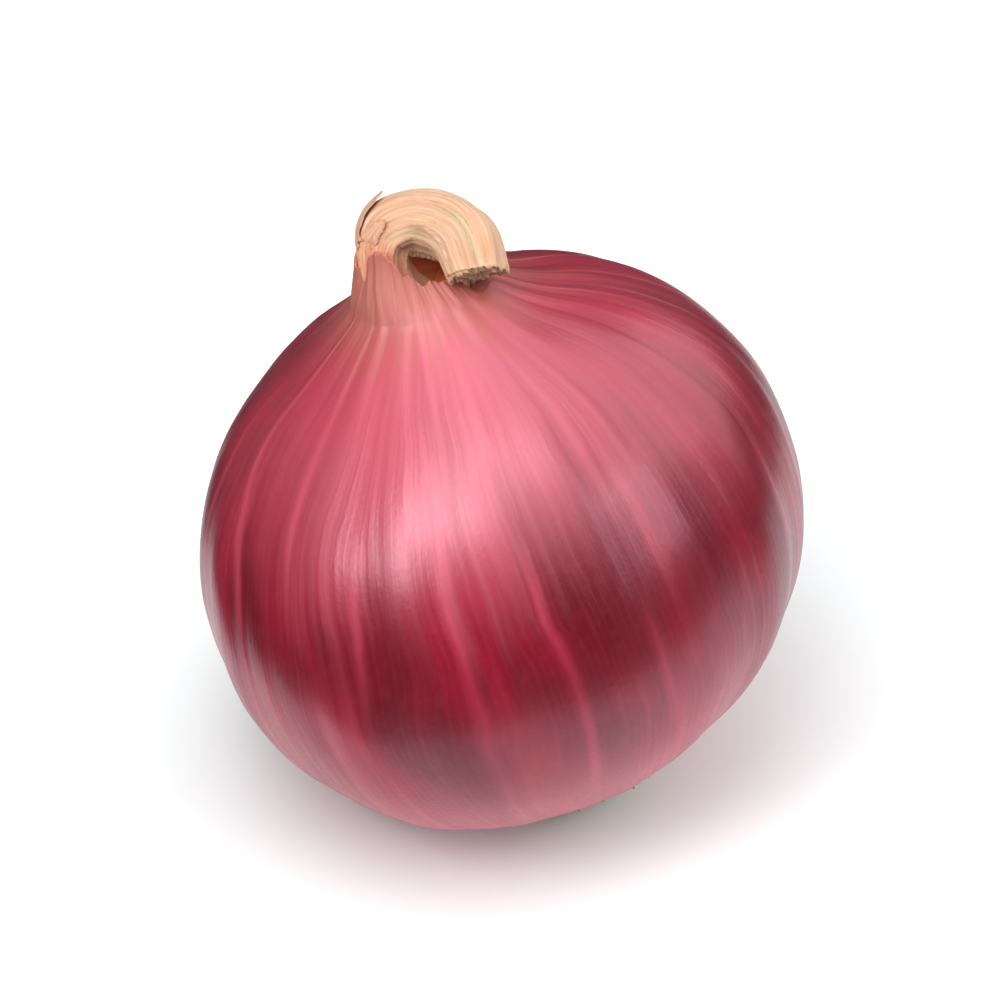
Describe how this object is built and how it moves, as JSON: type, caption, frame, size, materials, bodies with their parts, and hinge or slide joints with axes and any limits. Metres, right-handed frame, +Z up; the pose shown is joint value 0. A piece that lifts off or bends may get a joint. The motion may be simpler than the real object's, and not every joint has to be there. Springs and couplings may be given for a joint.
{
  "type": "red onion",
  "caption": "Whole red onion: squat round bulb in dry crimson skin, dried neck folded over to one side, tuft of short dried roots below, standing tilted on a small flat spot",
  "frame": {"origin": "centre of the flat spot that the onion stands on, at floor level", "axes": "+Z up. The camera that took the picture looks along +Y, from above at about 42 degrees. The onion's own axis leans 20 degrees off +Z, to the left and away from that camera, along (-0.26, 0.21, 0.94)."},
  "size_m": [0.0656, 0.0655, 0.0703],
  "materials": {
    "skin": "dry papery onion skin with a satin sheen, crimson with paler veins",
    "neck": "dry straw-coloured sheaths, matt",
    "roots": "dried root fibres, rough and matt"
  },
  "bodies": {
    "root": {"bulb": "skin", "neck": "neck", "roots": "roots"}
  },
  "joints": []
}
